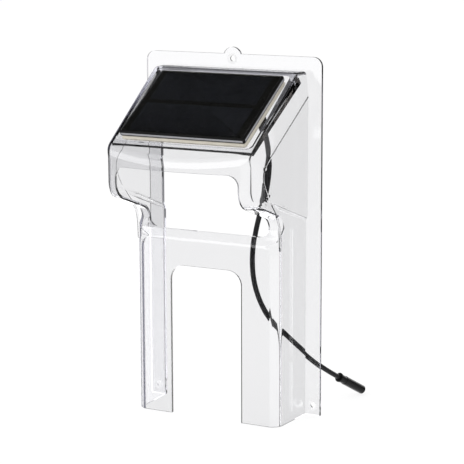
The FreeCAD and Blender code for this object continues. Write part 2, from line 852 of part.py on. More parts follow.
def make_connector_barrel():
    """Front of the connector: a round-nosed barrel with the socket in its end."""
    outer = dim("connector_diameter") / 2
    socket = dim("socket_diameter") / 2
    start = dim("collar_length")
    end = dim("connector_length")
    room = end - dim("socket_depth") - dim("insert_length")
    nose = 1.2
    section = [(0, start), (outer - 0.4, start), (outer, start + 0.6), (outer, end - nose),
               (outer - 0.35 * nose, end - 0.35 * nose), (outer - 0.8, end), (socket, end),
               (socket, room), (0, room)]
    keep(turned_body("connector_barrel", section), "connector_barrel", connector_frame())


def pin_centres():
    half = dim("pin_spacing") / 2
    return [Vector(-half, 0, 0), Vector(half, 0, 0)]


def make_connector_insert():
    """Contact carrier at the bottom of the socket, bored for the two contacts."""
    base = dim("connector_length") - dim("socket_depth") - dim("insert_length")
    radius = dim("socket_diameter") / 2
    carrier = Part.makeCylinder(radius, dim("insert_length"), Vector(0, 0, base))
    for centre in pin_centres():
        bore = Part.makeCylinder(dim("pin_diameter") / 2, dim("insert_length"),
                                 centre + Vector(0, 0, base))
        carrier = carrier.cut(bore)
    feature("connector_insert", carrier, connector_frame())


def make_connector_pins():
    base = dim("connector_length") - dim("socket_depth") - dim("insert_length")
    radius = dim("pin_diameter") / 2
    tip = 0.4
    pins = []
    for centre in pin_centres():
        shaft = Part.makeCylinder(radius, dim("pin_length") - tip, centre + Vector(0, 0, base))
        top = centre + Vector(0, 0, base + dim("pin_length") - tip)
        pins.append(shaft.fuse(Part.makeCone(radius, radius - 0.25, tip, top)).removeSplitter())
    feature("connector_pins", Part.makeCompound(pins), connector_frame())


def make_connector_seal():
    """Rubber ring at the bottom of the socket, round the mating plug."""
    ring = doc.addObject("Part::Torus", "connector_seal")
    ring.setExpression("Radius1", "dims.socket_diameter / 2 - dims.ring_section / 2")
    ring.setExpression("Radius2", "dims.ring_section / 2")
    doc.recompute()
    height = dim("connector_length") - dim("socket_depth") + dim("ring_section") / 2
    shift = Placement(Vector(0, 0, height), Rotation())
    keep(ring, "connector_seal", connector_frame().multiply(shift))


# ---------------------------------------------------------------- whole part

def check(part):
    if "Invalid" in part.State or "Error" in part.State:
        raise ValueError("%s failed: %s" % (part.Label, part.State))


def main():
    fill_sheet()
    make_hood_shell()
    make_foam_pad()
    make_panel_tray()
    make_circuit_board()
    make_solar_cells()
    make_cell_encapsulant()
    make_cover_sheet()
    make_terminal_pads()
    make_blocking_diode()
    make_cores()
    make_core_joints()
    make_lead_bush()
    make_lead_grommet()
    make_solar_lead()
    make_connector_collar()
    make_connector_barrel()
    make_connector_insert()
    make_connector_pins()
    make_connector_seal()
    doc.recompute()
    for item in doc.Objects:
        check(item)
    for part in sub_parts:
        if part.Shape.isNull() or not part.Shape.isValid():
            raise ValueError("%s has no valid shape" % part.Label)
    os.makedirs("parts", exist_ok=True)
    for part in sub_parts:
        part.Shape.exportStep("parts/%s.step" % part.Label)
        box = part.Shape.BoundBox
        print("%-18s solids %2d volume %9.1f  x %.1f..%.1f y %.1f..%.1f z %.1f..%.1f"
              % (part.Label, len(part.Shape.Solids), part.Shape.Volume, box.XMin, box.XMax,
                 box.YMin, box.YMax, box.ZMin, box.ZMax))


main()
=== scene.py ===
import math

import bmesh
import bpy
from mathutils import Matrix, Vector


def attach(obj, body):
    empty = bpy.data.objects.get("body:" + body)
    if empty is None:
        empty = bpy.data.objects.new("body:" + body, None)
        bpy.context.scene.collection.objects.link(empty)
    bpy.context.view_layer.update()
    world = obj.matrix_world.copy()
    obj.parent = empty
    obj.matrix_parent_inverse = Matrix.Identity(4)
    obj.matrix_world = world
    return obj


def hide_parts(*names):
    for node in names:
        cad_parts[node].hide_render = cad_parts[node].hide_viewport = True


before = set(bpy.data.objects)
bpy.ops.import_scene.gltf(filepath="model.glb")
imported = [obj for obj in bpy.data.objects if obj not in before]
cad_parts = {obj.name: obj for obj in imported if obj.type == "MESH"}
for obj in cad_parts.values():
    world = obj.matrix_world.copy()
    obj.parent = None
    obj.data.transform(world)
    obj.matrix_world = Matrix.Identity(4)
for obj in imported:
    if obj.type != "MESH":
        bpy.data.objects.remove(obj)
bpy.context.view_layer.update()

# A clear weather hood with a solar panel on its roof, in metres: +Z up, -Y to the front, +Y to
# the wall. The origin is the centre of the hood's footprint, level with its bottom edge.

MM = 0.001

scene = bpy.context.scene
root = "root"


def mm(*values):
    return Vector([value * MM for value in values])


def link(obj):
    scene.collection.objects.link(obj)
    return obj


# ---------------------------------------------------------------- camera

def make_camera():
    """View from the front right, a little above the window."""
    azimuth, elevation, roll = (math.radians(v) for v in (28.06, 10.71, -0.16))
    distance = 1.38717
    target = mm(14.18, 20.9, 150.8)
    back = Vector((math.sin(azimuth) * math.cos(elevation),
                   -math.cos(azimuth) * math.cos(elevation), math.sin(elevation)))
    right = Vector((math.cos(azimuth), math.sin(azimuth), 0.0))
    up = back.cross(right)
    rolled_right = right * math.cos(roll) + up * math.sin(roll)
    rolled_up = up * math.cos(roll) - right * math.sin(roll)
    data = bpy.data.cameras.new("view")
    data.sensor_width = 36.0
    data.lens = 135.01
    data.clip_start = 0.05
    data.clip_end = 20.0
    camera = link(bpy.data.objects.new("view", data))
    axes = Matrix((rolled_right, rolled_up, back)).transposed().to_4x4()
    camera.matrix_world = Matrix.Translation(target + back * distance) @ axes
    scene.camera = camera


make_camera()

# ---------------------------------------------------------------- frames of the assembly

SEAT = (Matrix.Translation(mm(0.0, 1.97, 247.97))
        @ Matrix.Rotation(math.radians(32.0), 4, "X"))
OUTLET_X, OUTLET_Y = 49.8, -4.0
OUTLET = SEAT @ Matrix.Translation(mm(OUTLET_X, OUTLET_Y, 0.0))
BUSH_TAIL = 12.0

LEAD_ROUTE = [
    mm(49.8, 11.5, 225.2),
    mm(50.0, 13.8, 204.0),
    mm(45.0, 14.3, 178.0),
    mm(36.6, 15.6, 149.0),
    mm(32.9, 19.9, 122.0),
    mm(34.0, 27.4, 99.0),
    mm(40.3, 38.9, 76.0),
    mm(52.6, 53.9, 57.0),
    mm(67.3, 73.4, 33.9),
]
CONNECTOR_BACK = mm(74.0, 96.9, 20.2)
LEAD_DIAMETER = 4.2 * MM
LEAD_EXIT = OUTLET @ mm(0.0, 0.0, -BUSH_TAIL)


# ---------------------------------------------------------------- materials

def new_material(name):
    material = bpy.data.materials.new(name)
    material.use_nodes = True
    tree = material.node_tree
    shader = next(n for n in tree.nodes if n.type == "BSDF_PRINCIPLED")
    return material, tree, shader


def node(tree, kind, **settings):
    made = tree.nodes.new(kind)
    for key, value in settings.items():
        if key in made.inputs:
            made.inputs[key].default_value = value
        else:
            setattr(made, key, value)
    return made


def output_of(tree):
    return next(n for n in tree.nodes if n.type == "OUTPUT_MATERIAL")


def noise(tree, scale, detail=3.0, roughness=0.55):
    position = node(tree, "ShaderNodeTexCoord")
    texture = node(tree, "ShaderNodeTexNoise", Scale=scale, Detail=detail, Roughness=roughness)
    tree.links.new(position.outputs["Object"], texture.inputs["Vector"])
    return texture


def ramp(tree, source, low, high, from_low=0.35, from_high=0.65):
    """Map a texture's value to the range low..high."""
    mapped = node(tree, "ShaderNodeMapRange")
    mapped.inputs["From Min"].default_value = from_low
    mapped.inputs["From Max"].default_value = from_high
    mapped.inputs["To Min"].default_value = low
    mapped.inputs["To Max"].default_value = high
    tree.links.new(source, mapped.inputs["Value"])
    return mapped.outputs["Result"]


def colour_mix(tree, factor, first, second):
    mixed = node(tree, "ShaderNodeMix", data_type="RGBA")
    mixed.inputs[6].default_value = (*first, 1.0)
    mixed.inputs[7].default_value = (*second, 1.0)
    tree.links.new(factor, mixed.inputs[0])
    return mixed.outputs[2]


def bump(tree, shader, height, strength, distance):
    made = node(tree, "ShaderNodeBump", Strength=strength, Distance=distance)
    tree.links.new(height, made.inputs["Height"])
    tree.links.new(made.outputs["Normal"], shader.inputs["Normal"])


def clear_plastic(name, haze, absorption, tint):
    """Clear plastic: a faint haze in the surface and a faint tint in the thickness."""
    material, tree, shader = new_material(name)
    shader.inputs["Base Color"].default_value = (1.0, 1.0, 1.0, 1.0)
    shader.inputs["Transmission Weight"].default_value = 1.0
    shader.inputs["IOR"].default_value = 1.5
    texture = noise(tree, 60.0)
    tree.links.new(ramp(tree, texture.outputs["Fac"], 0.0, haze), shader.inputs["Roughness"])
    volume = node(tree, "ShaderNodeVolumeAbsorption")
    volume.inputs["Color"].default_value = (*tint, 1.0)
    volume.inputs["Density"].default_value = absorption
    tree.links.new(volume.outputs["Volume"], output_of(tree).inputs["Volume"])
    return material


def moulded_plastic(name, colour, roughness, grain=900.0, depth=0.00003, gloss=0.5):
    material, tree, shader = new_material(name)
    texture = noise(tree, grain, 2.0)
    shade = noise(tree, 90.0, 3.0)
    darker = tuple(v * 0.75 for v in colour)
    tree.links.new(colour_mix(tree, shade.outputs["Fac"], darker, colour),
                   shader.inputs["Base Color"])
    tree.links.new(ramp(tree, texture.outputs["Fac"], roughness * 0.85, roughness * 1.15),
                   shader.inputs["Roughness"])
    shader.inputs["Specular IOR Level"].default_value = gloss
    bump(tree, shader, texture.outputs["Fac"], 0.25, depth)
    return material


def cell_silicon():
    """Blue-black silicon with the fine printed fingers that run along each cell."""
    material, tree, shader = new_material("cell_silicon")
    position = node(tree, "ShaderNodeTexCoord")
    fingers = node(tree, "ShaderNodeTexWave", wave_type="BANDS", bands_direction="X", Scale=260.0,
                   Distortion=0.0)
    tree.links.new(position.outputs["Object"], fingers.inputs["Vector"])
    grain = noise(tree, 140.0, 4.0)
    silicon = colour_mix(tree, grain.outputs["Fac"], (0.017, 0.019, 0.026),
                         (0.026, 0.029, 0.040))
    line = ramp(tree, fingers.outputs["Fac"], 0.0, 0.35, 0.90, 0.98)
    mixed = node(tree, "ShaderNodeMix", data_type="RGBA")
    tree.links.new(line, mixed.inputs[0])
    tree.links.new(silicon, mixed.inputs[6])
    mixed.inputs[7].default_value = (0.050, 0.055, 0.072, 1.0)
    tree.links.new(mixed.outputs[2], shader.inputs["Base Color"])
    tree.links.new(ramp(tree, grain.outputs["Fac"], 0.32, 0.45), shader.inputs["Roughness"])
    bump(tree, shader, fingers.outputs["Fac"], 0.15, 0.00001)
    return material


def foam_tan():
    """Open-cell adhesive foam, cream, with painted shade in its small pores."""
    material, tree, shader = new_material("foam_tan")
    position = node(tree, "ShaderNodeTexCoord")
    pores = node(tree, "ShaderNodeTexVoronoi", Scale=1500.0)
    tree.links.new(position.outputs["Object"], pores.inputs["Vector"])
    shade = noise(tree, 120.0, 4.0)
    base = colour_mix(tree, shade.outputs["Fac"], (0.56, 0.52, 0.44), (0.72, 0.68, 0.59))
    # painted shade: the colour darkens towards the middle of each small pore
    mixed = node(tree, "ShaderNodeMix", data_type="RGBA")
    tree.links.new(ramp(tree, pores.outputs["Distance"], 0.55, 0.0, 0.05, 0.45), mixed.inputs[0])
    tree.links.new(base, mixed.inputs[6])
    mixed.inputs[7].default_value = (0.44, 0.40, 0.33, 1.0)
    tree.links.new(mixed.outputs[2], shader.inputs["Base Color"])
    shader.inputs["Roughness"].default_value = 0.92
    shader.inputs["Sheen Weight"].default_value = 0.15
    bump(tree, shader, pores.outputs["Distance"], 0.6, 0.00012)
    return material


def metal(name, colour, roughness):
    material, tree, shader = new_material(name)
    scratches = noise(tree, 700.0, 4.0)
    tree.links.new(colour_mix(tree, scratches.outputs["Fac"], tuple(v * 0.8 for v in colour),
                              colour), shader.inputs["Base Color"])
    shader.inputs["Metallic"].default_value = 1.0
    tree.links.new(ramp(tree, scratches.outputs["Fac"], roughness * 0.7, roughness * 1.3),
                   shader.inputs["Roughness"])
    bump(tree, shader, scratches.outputs["Fac"], 0.2, 0.00002)
    return material


CLEAR_HOOD = clear_plastic("clear_polycarbonate", 0.012, 210.0, (0.80, 0.80, 0.82))
CLEAR_SHEET = clear_plastic("clear_sheet", 0.03, 10.0, (0.80, 0.81, 0.86))
ENCAPSULANT = clear_plastic("encapsulant", 0.02, 20.0, (0.82, 0.82, 0.80))
TRAY_BLACK = moulded_plastic("tray_black", (0.006, 0.006, 0.006), 0.50, gloss=0.1)
# grey painted reflection for the black tray's upright sides, standing in for the sheen that they
# catch
TRAY_SIDE_PAINTED_SHEEN = moulded_plastic("tray_wall", (0.38, 0.38, 0.40), 0.28)
BOARD_BLACK = moulded_plastic("board_black", (0.004, 0.004, 0.003), 0.30)
LEAD_BLACK = moulded_plastic("lead_black", (0.007, 0.007, 0.008), 0.40, 1400.0, gloss=0.3)
RUBBER_BLACK = moulded_plastic("rubber_black", (0.014, 0.014, 0.014), 0.60, 1200.0)
CONNECTOR_BLACK = moulded_plastic("connector_black", (0.005, 0.005, 0.005), 0.34, 1100.0,
                                  gloss=0.22)
FOAM = foam_tan()

NODE_MATERIALS = {
    "circuit_board": BOARD_BLACK,
    "solar_cells": cell_silicon(),
    "cell_encapsulant": ENCAPSULANT,
    "cover_sheet": CLEAR_SHEET,
    "terminal_pads": metal("pad_gold", (0.83, 0.62, 0.26), 0.28),
    "blocking_diode": moulded_plastic("diode_black", (0.016, 0.016, 0.017), 0.45),
    "positive_core": moulded_plastic("core_red", (0.42, 0.02, 0.015), 0.45),
    "negative_core": moulded_plastic("core_black", (0.012, 0.012, 0.012), 0.45),
    "core_joints": metal("solder", (0.62, 0.62, 0.60), 0.30),
    "lead_bush": RUBBER_BLACK,
    "lead_grommet": RUBBER_BLACK,
    "connector_collar": CONNECTOR_BLACK,
    "connector_barrel": CONNECTOR_BLACK,
    "connector_insert": moulded_plastic("insert_grey", (0.09, 0.09, 0.095), 0.50),
    "connector_pins": metal("pin_plated", (0.80, 0.66, 0.38), 0.22),
    "connector_seal": moulded_plastic("seal_red", (0.36, 0.03, 0.02), 0.50),
}


def paint(name, material):
    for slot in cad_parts[name].material_slots:
        slot.material = material


for node_name, node_material in NODE_MATERIALS.items():
    paint(node_name, node_material)


# ---------------------------------------------------------------- mesh tools

def solid(name, bm):
    """Object of a finished mesh, not yet in the scene."""
    bmesh.ops.recalc_face_normals(bm, faces=bm.faces)
    mesh = bpy.data.meshes.new(name)
    bm.to_mesh(mesh)
    bm.free()
    return bpy.data.objects.new(name, mesh)


def stacked(name, rings):
    """Closed solid over rings of points that all have the same count."""
    bm = bmesh.new()
    loops = [[bm.verts.new(point) for point in ring] for ring in rings]
    count = len(loops[0])
    for low, high in zip(loops, loops[1:]):
        for index in range(count):
            after = (index + 1) % count
            bm.faces.new((low[index], low[after], high[after], high[index]))
    bm.faces.new(loops[0])
    bm.faces.new(loops[-1])
    return solid(name, bm)


def turned(name, rings, matrix, steps=48):
    """Solid of revolution about z from (radius, height) pairs in millimetres."""
    circle = [2 * math.pi * index / steps for index in range(steps)]
    return stacked(name, [[matrix @ mm(radius * math.cos(a), radius * math.sin(a), height)
                           for a in circle] for radius, height in rings])


def rounded_outline(half_x, low, high, low_radius, high_radius, steps=8):
    """Rectangle with rounded corners about x = 0, between low and high."""
    corners = [(-half_x, low, low_radius, 180), (half_x, low, low_radius, 270),
               (half_x, high, high_radius, 0), (-half_x, high, high_radius, 90)]
    points = []
    for x, z, radius, begin in corners:
        centre_x = x - math.copysign(radius, x)
        centre_z = z + radius if z == low else z - radius
        for index in range(steps + 1 if radius else 1):
            angle = math.radians(begin + 90 * index / steps)
            points.append((centre_x + radius * math.cos(angle),
                           centre_z + radius * math.sin(angle)))
    return points


def combine(target, others, operation):
    """Cut the others from the target or join them to it, one after another."""
    for obj in [target] + others:
        if obj.name not in scene.collection.objects:
            link(obj)
    for other in others:
        step = target.modifiers.new(operation.lower(), "BOOLEAN")
        step.operation = operation
        step.object = other
        step.solver = "MANIFOLD"
    apply_modifiers(target)
    for other in others:
        bpy.data.objects.remove(other)


def apply_modifiers(obj):
    graph = bpy.context.evaluated_depsgraph_get()
    graph.update()
    mesh = bpy.data.meshes.new_from_object(obj.evaluated_get(graph))
    obj.modifiers.clear()
    obj.data = mesh


def smooth(obj, sharp_angle=20.0):
    for face in obj.data.polygons:
        face.use_smooth = True
    obj.data.set_sharp_from_angle(angle=math.radians(sharp_angle))


def finish_piece(obj, material, slot, *nodes):
    """Dress a new piece, put it in the frame, and hide the CAD nodes it stands for."""
    if obj.name not in scene.collection.objects:
        link(obj)
    obj.data.materials.clear()
    obj.data.materials.append(material)
    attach(obj, root)
    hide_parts(*nodes)


# ---------------------------------------------------------------- hood

WALL = 2.4
FLANGE = 2.5
BACK_Y = 50.9
ROOF_ANGLE = math.radians(35.65)
SHELF_ANGLE = math.radians(19.8)
BROW_RADIUS = 11.0
BROW_LEVELS = (208.0, 228.0)
# depth and height along the edge of the side walls, and along the ledge above the legs
EDGE_PATH = [(1.5, 259.2), (25.0, 243.6), (50.0, 227.4), (70.0, 214.4), (75.0, 209.0),
             (75.8, 201.0), (71.0, 193.0), (62.0, 182.0), (51.0, 171.5), (45.5, 162.0),
             (44.0, 148.0), (44.0, 142.0)]
LEDGE_PATH = [(1.5, 161.5), (20.0, 168.1), (45.0, 177.0), (62.0, 183.0), (72.0, 187.5)]
BOW_AXIS = 134.2
NOSE_DEPTH = 101.8
BREAK_DEPTH = 75.0
BROW_DEPTH = 92.0
# half widths between the side walls: at the wall, where the edge breaks, and at the brow
UPPER_BACK_HALF = 67.8
BREAK_HALF = 65.7
BROW_HALF = 62.8
LEG_BACK_HALF = 66.4
# the plane that leans inwards beside the roof: two heights of its crease, and its half width
CREASE_BACK_HEIGHT = 260.2
CREASE_BREAK_HEIGHT = 211.3
ROOF_EDGE_HALF = 63.7
# the ledge above the legs
LEDGE_BACK_HEIGHT = 160.0
LEDGE_SLOPE = 0.355
LEDGE_START = 0.6
LEDGE_STEP = 4.2
# rounding along the roof's top edge, smaller on the inside
TOP_EDGE_RADIUS = 2.6
TOP_EDGE_SHRINK = 0.8
SILL = 151.6
SILL_FADE = 9.0
PLATE_TOP = 145.0
PLATE_DEPTH = 48.5
PLATE_HALF = 58.2
PLATE_CORNER = 9.0
BEVEL_HALF = 64.4
BEVEL_DEPTH = 43.8
ROOF_TOP = 278.6
ROOF_DEPTH = 14.9
# radius of the upright corners: at the legs, on the nose and at the brow
LEG_CORNER, NOSE_CORNER, BROW_CORNER = 5.0, 6.6, 2.6
NOSE_CORNER_FADE = 20.0
BROW_CORNER_START, BROW_CORNER_FADE = 213.0, 9.0
BEND_REACH = 6.0
RING_STEP, FINE_RING_STEP = 0.9, 0.3
# recess for the panel; its wall is cut past the side walls
SEAT_HALF_X = 60.0
SEAT_HALF_Y = 42.7
SEAT_CORNER = 5.0
SEAT_HEIGHT = 45.0
SEAT_WALL_HALF_X = 75.0
SCREW_HOLES = ((0.0, 286.2), (-72.8, 8.3), (72.8, 8.3))


def clamp(value, low=0.0, high=1.0):
    return max(low, min(high, value))


def ease(value):
    value = clamp(value)
    return value * value * (3.0 - 2.0 * value)


def blend(first, second, share):
    return first + (second - first) * share


def soft_min(first, second, width):
    share = clamp(0.5 + 0.5 * (second - first) / width)
    return blend(second, first, share) - width * share * (1.0 - share)


def upper_half(depth):
    if depth <= BREAK_DEPTH:
        return blend(UPPER_BACK_HALF, BREAK_HALF, depth / BREAK_DEPTH)
    beyond = depth - BREAK_DEPTH
    return BREAK_HALF - beyond * (BREAK_HALF - BROW_HALF) / (BROW_DEPTH - BREAK_DEPTH)


def leg_half(depth):
    if depth <= BEVEL_DEPTH:
        return blend(LEG_BACK_HALF, BEVEL_HALF, depth / BEVEL_DEPTH)
    if depth <= BREAK_DEPTH:
        return blend(BEVEL_HALF, BREAK_HALF, (depth - BEVEL_DEPTH) / (BREAK_DEPTH - BEVEL_DEPTH))
    return upper_half(depth)


def slope_height(depth):
    return ROOF_TOP - (depth - ROOF_DEPTH) * math.tan(ROOF_ANGLE)


def leaning_half(depth, height):
    """Half width of the plane that leans inwards between the crease and the roof's edge."""
    top_depth = (ROOF_DEPTH + BROW_DEPTH) / 2
    front = (BREAK_DEPTH, CREASE_BREAK_HEIGHT - CREASE_BACK_HEIGHT, BREAK_HALF - UPPER_BACK_HALF)
    top = (top_depth, slope_height(top_depth) - CREASE_BACK_HEIGHT,
           ROOF_EDGE_HALF - UPPER_BACK_HALF)
    determinant = front[0] * top[1] - front[1] * top[0]
    per_depth = (front[2] * top[1] - front[1] * top[2]) / determinant
    per_height = (front[0] * top[2] - front[2] * top[0]) / determinant
    return UPPER_BACK_HALF + per_depth * depth + per_height * (height - CREASE_BACK_HEIGHT)


def top_edge(inset):
    """Radius of the rounding along the roof's top edge."""
    return TOP_EDGE_RADIUS - TOP_EDGE_SHRINK * inset


def side_width(depth, height, inset):
    """Half width between the side walls at a depth and a height."""
    ledge = LEDGE_BACK_HEIGHT + LEDGE_SLOPE * depth
    width = blend(leg_half(depth), upper_half(depth),
                  ease((height - ledge + LEDGE_START) / LEDGE_STEP))
    width = soft_min(width, leaning_half(depth, height), 0.25) - inset
    edge = top_edge(inset)
    rise = height - (ROOF_TOP - inset - edge)
    if rise > 0:
        width -= edge - math.sqrt(max(0.0, edge * edge - min(rise, edge) ** 2))
    return width


def nose_profile(height, inset):
    """Depth of the nose's underside and throat on the middle line."""
    slope = math.tan(SHELF_ANGLE)
    front = NOSE_DEPTH - inset
    throat = 51.5 - inset
    base_depth = 59.8 - inset * math.sin(SHELF_ANGLE)
    base_height = 169.0 + inset * math.cos(SHELF_ANGLE)
    chin = 17.0 - inset
    lean = math.cos(SHELF_ANGLE)
    chin_height = base_height + (front - chin - base_depth) * slope + chin / lean
    curl = 13.0 + inset
    curl_height = base_height + (throat + curl - base_depth) * slope - curl / lean
    if height >= chin_height:
        return front
    if height >= chin_height - chin * lean:
        return front - chin + math.sqrt(chin * chin - (height - chin_height) ** 2)
    if height >= curl_height + curl * lean:
        return base_depth + (height - base_height) / slope
    if height >= curl_height:
        return throat + curl - math.sqrt(curl * curl - (height - curl_height) ** 2)
    return throat


def bowed(depth, x):
    radius = depth + BOW_AXIS
    return math.sqrt(radius * radius - x * x) - BOW_AXIS


def nose_depth(x, height, inset):
    front = bowed(NOSE_DEPTH - inset, x)
    brow = BROW_RADIUS - inset
    drop = inset / math.cos(ROOF_ANGLE)
    centre = slope_height(front - brow) - drop - brow / math.cos(ROOF_ANGLE)
    if height <= centre:
        return bowed(nose_profile(height, inset), x)
    if height >= centre + brow * math.cos(ROOF_ANGLE):
        return ROOF_DEPTH + (ROOF_TOP - drop - height) / math.tan(ROOF_ANGLE)
    return front - brow + math.sqrt(brow * brow - (height - centre) ** 2)


def plate_front(height, inset):
    """Depth of the crossbar's front, with the bevel up to the sill."""
    lean = math.atan2(PLATE_DEPTH - BEVEL_DEPTH, SILL - PLATE_TOP)
    flat = PLATE_DEPTH - inset
    slanted = BEVEL_DEPTH + (SILL - height) * math.tan(lean) - inset / math.cos(lean)
    return soft_min(flat, slanted, 0.8)


def front_depth(x, height, inset):
    lower = plate_front(min(height, SILL), inset)
    if height <= SILL:
        return lower
    return blend(lower, nose_depth(x, height, inset), ease((height - SILL) / SILL_FADE))


def unit(a, b):
    length = math.hypot(b[0] - a[0], b[1] - a[1])
    return ((b[0] - a[0]) / length, (b[1] - a[1]) / length)


def turn_between(a, b):
    return math.acos(clamp(a[0] * b[0] + a[1] * b[1], -1.0, 1.0))


def along(point, direction, length):
    return (point[0] + direction[0] * length, point[1] + direction[1] * length)


def arc_points(before, corner, after, radius, count):
    """A rounded corner: the arc of this radius that touches both lines."""
    incoming = unit(before, corner)
    outgoing = unit(corner, after)
    turn = turn_between(incoming, outgoing)
    setback = radius * math.tan(turn / 2)
    start = along(corner, incoming, -setback)
    end = along(corner, outgoing, setback)
    weight = math.cos(turn / 2)
    points = []
    for index in range(count + 1):
        share = index / count
        a, b, c = (1 - share) ** 2, 2 * share * (1 - share) * weight, share ** 2
        points.append(tuple((a * s + b * m + c * e) / (a + b + c)
                            for s, m, e in zip(start, corner, end)))
    return points


SIDE_STEPS, ARC_STEPS, FRONT_STEPS = 22, 5, 14


def corner_bends(height, inset):
    """The two bends between side and front, and their radius."""
    x = 62.0
    for _ in range(30):
        x = blend(x, side_width(front_depth(x, height, inset), height, inset), 0.7)
    depth = front_depth(x, height, inset)
    step = 0.5
    side = unit((side_width(depth - step, height, inset), depth - step), (x, depth))
    front = unit((x, depth), (x - step, front_depth(x - step, height, inset)))
    radius = blend(blend(LEG_CORNER, NOSE_CORNER, ease((height - SILL) / NOSE_CORNER_FADE)),
                   BROW_CORNER, ease((height - BROW_CORNER_START) / BROW_CORNER_FADE))
    radius = max(0.5, radius - inset)
    turn = turn_between(side, front)
    reach = radius * (math.tan(turn / 2) - math.tan(turn / 4))
    upper = [along((x, depth), side, -reach), along((x, depth), front, reach)]
    if height > SILL + SILL_FADE:
        return upper, radius
    rise = clamp((height - (PLATE_TOP - PLATE_CORNER)) / PLATE_CORNER)
    plate_half = PLATE_HALF - PLATE_CORNER * (1 - math.sqrt(1 - rise * rise)) * 0.75
    flat = plate_front(min(height, SILL), inset)
    bevel = unit((BEVEL_HALF, BEVEL_DEPTH), (plate_half, PLATE_DEPTH))
    base = (BEVEL_HALF - inset * bevel[1], BEVEL_DEPTH + inset * bevel[0])
    # where the slanted line meets the side and the front
    share = (side_width(BEVEL_DEPTH, height, inset) - base[0]) / bevel[0]
    first = along(base, bevel, share)
    second = (first[0] - 0.5, first[1] + 0.35)
    if flat > first[1] + 0.4:
        second = along(base, bevel, (flat - base[1]) / bevel[1])
    mixed = ease((height - PLATE_TOP - 2.0) / (SILL + SILL_FADE - PLATE_TOP - 2.0))
    bends = [tuple(blend(a, b, mixed) for a, b in zip(low, high))
             for low, high in zip((first, second), upper)]
    return bends, radius


def section(height, inset, start):
    """Half outline in plan at a height, from the wall round the corner to the middle."""
    bends, radius = corner_bends(height, inset)
    first, second = bends
    before = (side_width(first[1] - BEND_REACH, height, inset), first[1] - BEND_REACH)
    inner_x = second[0] - BEND_REACH
    inner = (inner_x, second[1] if height <= SILL else front_depth(inner_x, height, inset))
    bevelled = arc_points(before, first, second, radius, ARC_STEPS)
    bevelled += arc_points(first, second, inner, radius, ARC_STEPS)
    side_end = bevelled[0][1]
    points = []
    for index in range(SIDE_STEPS):
        depth = blend(start, side_end, index / SIDE_STEPS)
        points.append((side_width(depth, height, inset), depth))
    points += bevelled
    edge_x, edge_depth = bevelled[-1]
    offset = edge_depth - front_depth(edge_x, height, inset)
    for index in range(1, FRONT_STEPS + 1):
        x = edge_x * (1 - index / FRONT_STEPS)
        fade = offset * max(0.0, 1 - index / 3)
        points.append((x, front_depth(x, height, inset) + fade))
    return points


def levels(inset, bottom):
    """Heights of the rings, close together where the outline changes quickly."""
    top = ROOF_TOP - inset
    edge = top_edge(inset)
    found = [bottom] + [8.0 * i for i in range(1, 17)]
    found += [132.0 + i for i in range(20)]
    found += [SILL]
    height = SILL + RING_STEP
    while height < top - edge - 0.3:
        found.append(height)
        height += FINE_RING_STEP if BROW_LEVELS[0] < height < BROW_LEVELS[1] else RING_STEP
    found += [top - edge + edge * math.sin(math.radians(a)) for a in (0, 22.5, 45, 67.5, 90)]
    return found


def hood_block(name, inset, start, bottom):
    """Closed solid of the hood's outer form, or of its room when inset by the wall."""
    rings = []
    for height in levels(inset, bottom):
        half = section(height, inset, start)
        full = half + [(-x, depth) for x, depth in reversed(half[:-1])]
        rings.append([mm(x, BACK_Y - depth, height) for x, depth in full])
    return stacked(name, rings)


def seat_solid(name, grow, half_x):
    """Room of the panel's recess; grown by the wall, it is the block round the recess."""
    corner = SEAT_CORNER + grow
    outline = rounded_outline(half_x, -SEAT_HALF_Y - grow, SEAT_HALF_Y + grow, corner, corner)
    return stacked(name, [[SEAT @ mm(a, b, height) for a, b in outline]
                          for height in (-grow, SEAT_HEIGHT - grow)])


def front_cutter(name, outline, near, far):
    """Prism along the depth of an outline that is seen from the front."""
    return stacked(name, [[mm(x, BACK_Y - depth, z) for x, z in outline]
                          for depth in (near, far)])


def arc(centre_x, centre_z, radius, begin, end, steps):
    angles = [math.radians(begin + (end - begin) * i / steps) for i in range(steps + 1)]
    return [(centre_x + radius * math.cos(a), centre_z + radius * math.sin(a)) for a in angles]


def flange_solid():
    """Back flange with rounded corners and the tab of the hanging hole."""
    half, high, corner, tab, tab_top = 79.25, 290.0, 7.5, 8.0, 295.5
    tab_centre = tab_top - tab
    begin = math.degrees(math.asin((high - tab_centre) / tab))
    outline = [(-half, 0.0), (half, 0.0)]
    outline += arc(half - corner, high - corner, corner, 0, 90, 10)
    outline += arc(0.0, tab_centre, tab, begin, 180 - begin, 24)
    outline += arc(corner - half, high - corner, corner, 90, 180, 10)
    return front_cutter("flange", outline, 0.0, FLANGE)


def screw_cutter(x, z):
    """Countersunk hole through the flange."""
    matrix = Matrix.Translation(mm(x, BACK_Y - FLANGE, z)) @ Matrix.Rotation(-math.pi / 2, 4, "X")
    return turned("screw", [(4.95, -0.6), (4.35, 0.0), (2.25, 1.2), (2.25, 8.0)], matrix)


def wall_bead(name, side, path, radius, sunk):
    """Slim bead that follows depths and heights on the outside of a side wall."""
    data = bpy.data.curves.new(name, "CURVE")
    data.dimensions = "3D"
    spline = data.splines.new("NURBS")
    spline.points.add(len(path) - 1)
    for control, (depth, height) in zip(spline.points, path):
        x = side_width(depth, height, 0.0) - sunk
        control.co = (*mm(side * x, BACK_Y - depth, height), 1.0)
    spline.order_u = 3
    spline.use_endpoint_u = True
    spline.resolution_u = 8
    data.bevel_depth = radius * MM
    data.bevel_resolution = 4
    data.use_fill_caps = True
    curve = link(bpy.data.objects.new(name, data))
    tube = bpy.data.meshes.new_from_object(
        curve.evaluated_get(bpy.context.evaluated_depsgraph_get()))
    bpy.data.objects.remove(curve)
    bm = bmesh.new()
    bm.from_mesh(tube)
    bmesh.ops.remove_doubles(bm, verts=bm.verts, dist=0.00001)
    return solid(name, bm)


